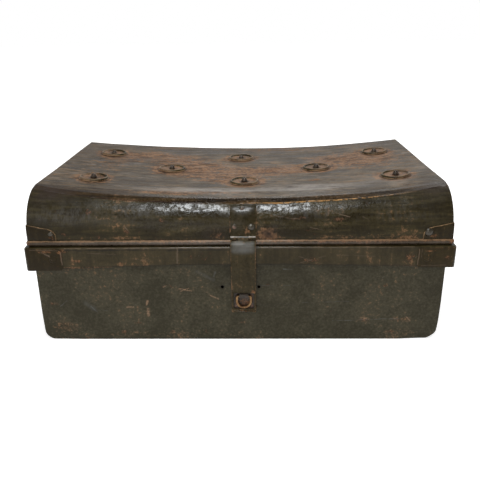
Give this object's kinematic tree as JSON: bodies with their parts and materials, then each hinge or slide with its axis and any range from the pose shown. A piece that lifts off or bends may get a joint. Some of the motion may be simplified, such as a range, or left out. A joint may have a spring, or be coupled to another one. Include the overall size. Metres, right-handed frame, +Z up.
{
  "type": "tin trunk",
  "caption": "Low sheet-steel trunk with a round-fronted overlapping lid, a hasp that drops over a ring staple, strap hinges and end drop handles.",
  "frame": {"origin": "middle of the underside of the tub, on the surface it stands on", "axes": "+X along the trunk's length to the right as seen from the front, -Y towards the front with the hasp, +Z up"},
  "size_m": [0.6672, 0.4403, 0.2517],
  "materials": {
    "tub_paint": "worn gloss",
    "lid_paint": "worn gloss",
    "fittings_paint": "worn gloss",
    "roundel_steel": "worn, rusty",
    "ring_wire": "tarnished",
    "rivet_steel": "dull, rusty",
    "handle_rod": "dull, rusty"
  },
  "bodies": {
    "tub": {"body_back": "tub_paint", "body_front": "tub_paint", "body_rim": "tub_paint", "body_wrap": "tub_paint", "handle_plate_left": "fittings_paint", "handle_plate_right": "fittings_paint", "handle_rivets": "rivet_steel", "hinge_body_leaves": "fittings_paint", "hinge_body_rivets": "rivet_steel", "hinge_pins": "rivet_steel", "ring_clip": "fittings_paint", "staple_plate": "fittings_paint", "staple_rivets": "rivet_steel"},
    "lid": {"band_patch_back_left": "lid_paint", "band_patch_back_right": "lid_paint", "band_patch_front_left": "lid_paint", "band_patch_front_right": "lid_paint", "band_patch_rivets": "rivet_steel", "hasp_pin": "rivet_steel", "hasp_plate": "fittings_paint", "hasp_plate_rivets": "rivet_steel", "hinge_lid_leaves": "fittings_paint", "hinge_lid_rivets": "rivet_steel", "lid_band": "lid_paint", "lid_bead": "lid_paint", "lid_bracket_back_left": "lid_paint", "lid_bracket_back_right": "lid_paint", "lid_bracket_front_left": "lid_paint", "lid_bracket_front_right": "lid_paint", "lid_bracket_rivets": "rivet_steel", "lid_crown": "lid_paint", "lid_end_left": "lid_paint", "lid_end_right": "lid_paint", "lid_roundel_1": "roundel_steel", "lid_roundel_2": "roundel_steel", "lid_roundel_3": "roundel_steel", "lid_roundel_4": "roundel_steel", "lid_roundel_5": "roundel_steel", "lid_roundel_6": "roundel_steel", "lid_roundel_7": "roundel_steel", "lid_roundel_8": "roundel_steel", "roundel_studs": "rivet_steel"},
    "hasp": {"hasp_strap": "fittings_paint"},
    "ring": {"staple_ring": "ring_wire"},
    "handle_left": {"handle_bail_left": "handle_rod"},
    "handle_right": {"handle_bail_right": "handle_rod"}
  },
  "joints": [
    {"name": "lid_hinge", "type": "hinge", "parent": "tub", "child": "lid", "pos_m": [0, 0.21775, 0.1304], "axis": [-1, 0, 0], "range_deg": [0, 105]},
    {"name": "hasp_swing", "type": "hinge", "parent": "lid", "child": "hasp", "pos_m": [0.0075, -0.2124, 0.1796], "axis": [-1, 0, 0], "range_deg": [0, 135]},
    {"name": "ring_swing", "type": "hinge", "parent": "tub", "child": "ring", "pos_m": [0.0075, -0.2091, 0.0805], "axis": [-1, 0, 0], "range_deg": [0, 90]},
    {"name": "handle_left_swing", "type": "hinge", "parent": "tub", "child": "handle_left", "pos_m": [-0.32775, 0, 0.1], "axis": [0, 1, 0], "range_deg": [0, 90]},
    {"name": "handle_right_swing", "type": "hinge", "parent": "tub", "child": "handle_right", "pos_m": [0.32775, 0, 0.1], "axis": [0, -1, 0], "range_deg": [0, 90]}
  ]
}
